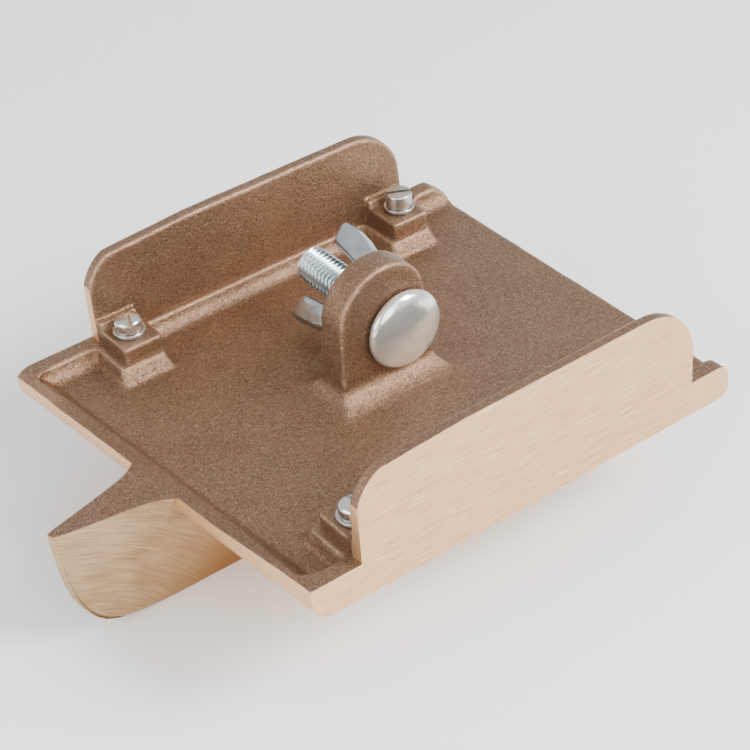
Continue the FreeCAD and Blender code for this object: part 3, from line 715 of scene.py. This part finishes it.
def make_bright(name, base, shade, rough, uneven, metallic=1.0):
    """A bright metal: two close tones in soft patches, and a slightly wavy surface."""
    material, tree, shader, place = metal(name, metallic)
    patch = put(tree, "TexNoise", {"Vector": place, "Scale": 160.0, "Detail": 5.0, "Roughness": 0.6})
    speck = put(tree, "TexNoise", {"Vector": place, "Scale": 2500.0, "Detail": 2.0})
    colour = blend(tree, ranged(tree, patch.outputs[0], 0.35, 0.65), base, shade)
    tree.links.new(colour, shader.inputs["Base Color"])
    tree.links.new(ranged(tree, patch.outputs[0], 0.3, 0.7, rough, rough + 0.1), shader.inputs["Roughness"])
    height = maths(tree, "ADD", patch.outputs[0], maths(tree, "MULTIPLY", speck.outputs[0], 0.06))
    relief(tree, shader, height, uneven)
    return material


screw_steel = make_bright("screw_steel_satin", (0.60, 0.585, 0.55), (0.50, 0.49, 0.46), 0.26, 0.06 * mm)
screw_bright = make_bright("screw_steel_polished", (0.68, 0.69, 0.68), (0.56, 0.58, 0.57), 0.13, 0.08 * mm)
domed = [(4.45, 0.0), (4.75, 0.25), (4.75, 3.1)]
domed += [(4.75 * math.cos(t), 3.1 + 2.1 * math.sin(t)) for t in (k * math.pi / 18 for k in range(1, 9))]
domed += [(0.15, 5.2)]
flat = [(4.45, 0.0), (4.75, 0.25), (4.75, 4.55), (4.62, 4.9), (4.4, 5.08), (3.0, 5.17), (0.15, 5.2)]
for end, profile, slot_turn, finish in (("front", domed, -20.0, screw_bright),
                                        ("back", flat, 62.0, screw_steel)):
    for side_name, sign in (("left", -1), ("right", 1)):
        tag = end + "_" + side_name
        low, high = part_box("screw_" + tag)
        seat = high.z - 5.2 * mm
        head = turned("screw_" + tag + "_metal", [(r * mm, h * mm) for r, h in profile])
        slot = block("slot", (-8 * mm, -0.75 * mm, 2.8 * mm), (8 * mm, 0.75 * mm, 8 * mm))
        settle(slot, Matrix.Rotation(math.radians(slot_turn + (25 if sign > 0 else 0)), 4, "Z"))
        carve(head, slot, "DIFFERENCE")
        shank = threaded("shank", 3.17 * mm, 25.4 / 20 * mm, low.z - seat, 0.4 * mm, 0.62 * mm, 28, 7)
        carve(head, shank, "UNION")
        settle(head, Matrix.Translation(((low.x + high.x) / 2, (low.y + high.y) / 2, seat)))
        coat(head, 0, [finish])
        bpy.ops.object.shade_smooth_by_angle(angle=math.radians(32))
        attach(head, "base")
        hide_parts("screw_" + tag)


# ---- Lock washers: split rings of spring steel under the curb screws ---------------------------
# Coiled from square wire with soft corners, cut through, and pressed nearly flat by the screw.
washer_steel = make_bright("washer_zinc", (0.55, 0.55, 0.54), (0.45, 0.45, 0.46), 0.24, 0.04 * mm)
for end in ("front", "back"):
    for side_name in ("left", "right"):
        tag = end + "_" + side_name
        low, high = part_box("lock_washer_" + tag)
        wire = block("lock_washer_" + tag + "_metal", (3.35 * mm, -0.01 * mm, 0.08 * mm),
                     (5.6 * mm, 0.01 * mm, 1.42 * mm))
        round_edges(wire, lambda edge: along(edge, 1), 0.28 * mm, 3)
        bpy.ops.object.mode_set(mode="EDIT")
        choose(wire, "FACE", lambda face: face.normal.y > 0.9)
        bpy.ops.mesh.spin(steps=60, angle=math.radians(349), center=(0, 0, 0), axis=(0, 0, 1), dupli=False)
        bpy.ops.mesh.select_all(action="SELECT")
        bpy.ops.mesh.remove_doubles(threshold=1e-7)
        bpy.ops.mesh.normals_make_consistent(inside=False)
        bpy.ops.object.mode_set(mode="OBJECT")
        for vert in wire.data.vertices:
            turn = math.atan2(vert.co.y, vert.co.x) % (2 * math.pi)
            falling = 1 - 2 * turn / (2 * math.pi)
            vert.co.z += 0.16 * mm * (falling if turn < math.radians(349.5) else 1)
        settle(wire, Matrix.Translation(((low.x + high.x) / 2, (low.y + high.y) / 2, low.z + 0.02 * mm))
               @ Matrix.Rotation(math.radians(140), 4, "Z"))
        coat(wire, 0, [washer_steel])
        bpy.ops.object.shade_smooth_by_angle(angle=math.radians(40))
        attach(wire, "base")
        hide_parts("lock_washer_" + tag)


# ---- Carriage bolt: 1/2 in, zinc plated, pushed through the lug from the right ----------------
# Cold headed with a smooth low dome and a square neck that keys in the lug, then thread-rolled.
zinc_head = make_bright("bolt_zinc_head", (0.80, 0.80, 0.76), (0.68, 0.69, 0.65), 0.12, 0.25 * mm, 0.78)
zinc_thread = make_bright("bolt_zinc_thread", (0.58, 0.68, 0.72), (0.46, 0.56, 0.61), 0.22, 0.05 * mm)
head_radius, head_rise = 13.9 * mm, 6.0 * mm
crown = [(head_radius * math.cos(t), 1.3 * mm + (head_rise - 1.3 * mm) * math.sin(t) ** 0.95)
         for t in (k * math.pi / 40 for k in range(1, 20))]
bolt = turned("carriage_bolt_metal", [(12.2 * mm, 0.0), (13.3 * mm, 0.25 * mm), (13.8 * mm, 0.7 * mm),
                                      (head_radius, 1.15 * mm)] + crown + [(0.4 * mm, head_rise)], corners=96)
neck = block("neck", (-6.35 * mm, -6.35 * mm, -7.4 * mm), (6.35 * mm, 6.35 * mm, 0.6 * mm))
round_edges(neck, lambda edge: along(edge, 2), 0.9 * mm, 4)
round_edges(neck, lambda edge: abs(middle(edge).z + 7.4 * mm) < 0.1 * mm, 0.6 * mm, 2)
carve(bolt, neck, "UNION")
carve(bolt, threaded("thread", 6.3 * mm, 25.4 / 13 * mm, -50.8 * mm, -7.0 * mm, 1.05 * mm, 56, 10), "UNION")
coat(bolt, 0, [zinc_head, zinc_thread])
for face in bolt.data.polygons:
    if face.center.z < -7.45 * mm:
        face.material_index = 1
settle(bolt, Matrix.Translation((lug_face, bolt_y, bolt_z)) @ Matrix.Rotation(math.pi / 2, 4, "Y"))
bpy.ops.object.shade_smooth_by_angle(angle=math.radians(35))
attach(bolt, "bolt")
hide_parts("carriage_bolt")


# ---- Wing nut: a bright plated forging, run up on the bolt against the lug's left face -----------
# A tapered hub with two paddles that lean outwards, forged in one piece, tapped, tumbled and plated.
def paddle(name, stations, corners=20):
    """A wing in the XZ plane from stations: out, up, width across it and thickness."""
    bpy.ops.object.select_all(action="DESELECT")
    bpy.ops.mesh.primitive_circle_add(vertices=corners, fill_type="NGON")
    thing = bpy.context.object
    thing.name = name
    bpy.ops.object.mode_set(mode="EDIT")
    for number, (out, up, width, thick) in enumerate(stations):
        if number:
            bpy.ops.mesh.extrude_region_move(TRANSFORM_OT_translate={"value": (0, 0, 1 * mm)})
        before, after = stations[max(number - 1, 0)], stations[min(number + 1, len(stations) - 1)]
        run = Vector((after[0] - before[0], 0, after[1] - before[1])).normalized()
        across = Vector((run.z, 0, -run.x))
        mesh = bmesh.from_edit_mesh(thing.data)
        ring = sorted((vert for vert in mesh.verts if vert.select), key=lambda vert: vert.index)
        for place, vert in enumerate(ring):
            turn = 2 * math.pi * place / corners
            flat_x = math.copysign(abs(math.cos(turn)) ** 0.5, math.cos(turn))
            flat_y = math.copysign(abs(math.sin(turn)) ** 0.5, math.sin(turn))
            vert.co = Vector((out, 0, up)) * mm + across * flat_x * width / 2 * mm
            vert.co.y = flat_y * thick / 2 * mm
        bmesh.update_edit_mesh(thing.data)
    bpy.ops.mesh.select_all(action="SELECT")
    bpy.ops.mesh.normals_make_consistent(inside=False)
    bpy.ops.object.mode_set(mode="OBJECT")
    return thing


hub = turned("wing_nut_metal", [(r * mm, h * mm) for r, h in
                                ((9.6, 0.0), (10.3, 0.5), (10.4, 1.6), (9.9, 6.0), (9.4, 9.8),
                                 (8.8, 10.7), (8.2, 11.0))])
wing = [(6.0, 3.0, 6.4, 8.0), (8.2, 7.6, 7.0, 8.0), (10.4, 12.5, 7.6, 7.8), (12.0, 17.0, 8.4, 7.6),
        (13.0, 21.0, 9.0, 7.4), (13.7, 25.0, 9.2, 7.2), (14.0, 28.5, 9.2, 7.0), (14.0, 30.8, 8.8, 6.4),
        (13.9, 31.6, 7.4, 5.2)]
first = paddle("wing", wing)
second = paddle("wing", wing)
settle(second, Matrix.Rotation(math.pi, 4, "Z"))
nut = join("wing_nut_metal", [hub, first, second])
melt(nut, 0.38 * mm, 4)
bore = drum("bore", (0, 0, 5 * mm), 6.42 * mm, 40 * mm)
carve(nut, bore, "DIFFERENCE")
bright_plate = make_bright("nut_bright_plate", (0.50, 0.53, 0.56), (0.37, 0.40, 0.43), 0.1, 0.18 * mm)
coat(nut, 0, [bright_plate])
lean = math.radians(47)
outwards = Vector((-1, 0, 0))
wing_way = Vector((0, math.cos(lean), math.sin(lean)))
nut_axes = Matrix((wing_way, outwards.cross(wing_way), outwards)).transposed().to_4x4()
settle(nut, Matrix.Translation((-lug_face, bolt_y, bolt_z)) @ nut_axes)
bpy.ops.object.shade_smooth_by_angle(angle=math.radians(40))
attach(nut, "nut")
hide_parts("wing_nut")


# ---- Studio: a pale paper floor and soft boxes ---------------------------------------------
# The floor runs far behind the tool, just under the keel.
bpy.ops.object.select_all(action="DESELECT")
bpy.ops.mesh.primitive_plane_add(size=12.0, location=(0, 0, cad_low.z - 0.2 * mm))
floor = bpy.context.object
floor.name = "studio_floor"
paper = bpy.data.materials.new("studio_paper")
paper.use_nodes = True
paper.node_tree.nodes["Principled BSDF"].inputs["Base Color"].default_value = (0.97, 0.97, 0.97, 1)
paper.node_tree.nodes["Principled BSDF"].inputs["Roughness"].default_value = 0.9
floor.data.materials.append(paper)
floor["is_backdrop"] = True

world = bpy.data.worlds.new("studio_air")
bpy.context.scene.world = world
world.use_nodes = True
world.node_tree.nodes["Background"].inputs["Color"].default_value = (1, 1, 1, 1)
world.node_tree.nodes["Background"].inputs["Strength"].default_value = 1.0


def soft_box(name, place, aim, width, height, watts):
    """An area light that faces a point."""
    light = bpy.data.lights.new(name, "AREA")
    light.shape = "RECTANGLE"
    light.size = width
    light.size_y = height
    light.energy = watts
    lamp = bpy.data.objects.new(name, light)
    bpy.context.collection.objects.link(lamp)
    lamp.location = place
    lamp.rotation_euler = (Vector(aim) - Vector(place)).to_track_quat("-Z", "Y").to_euler()
    return lamp


soft_box("key_from_back_right", (0.85, 0.75, 0.95), (0, 0, 0.05), 0.6, 0.6, 34.0)
soft_box("fill_from_right", (1.3, -0.3, 0.7), (0, 0, 0.05), 1.0, 0.9, 12.0)
soft_box("fill_from_front", (0.1, -1.3, 0.6), (0, 0, 0.05), 1.2, 0.8, 14.0)

low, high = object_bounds()
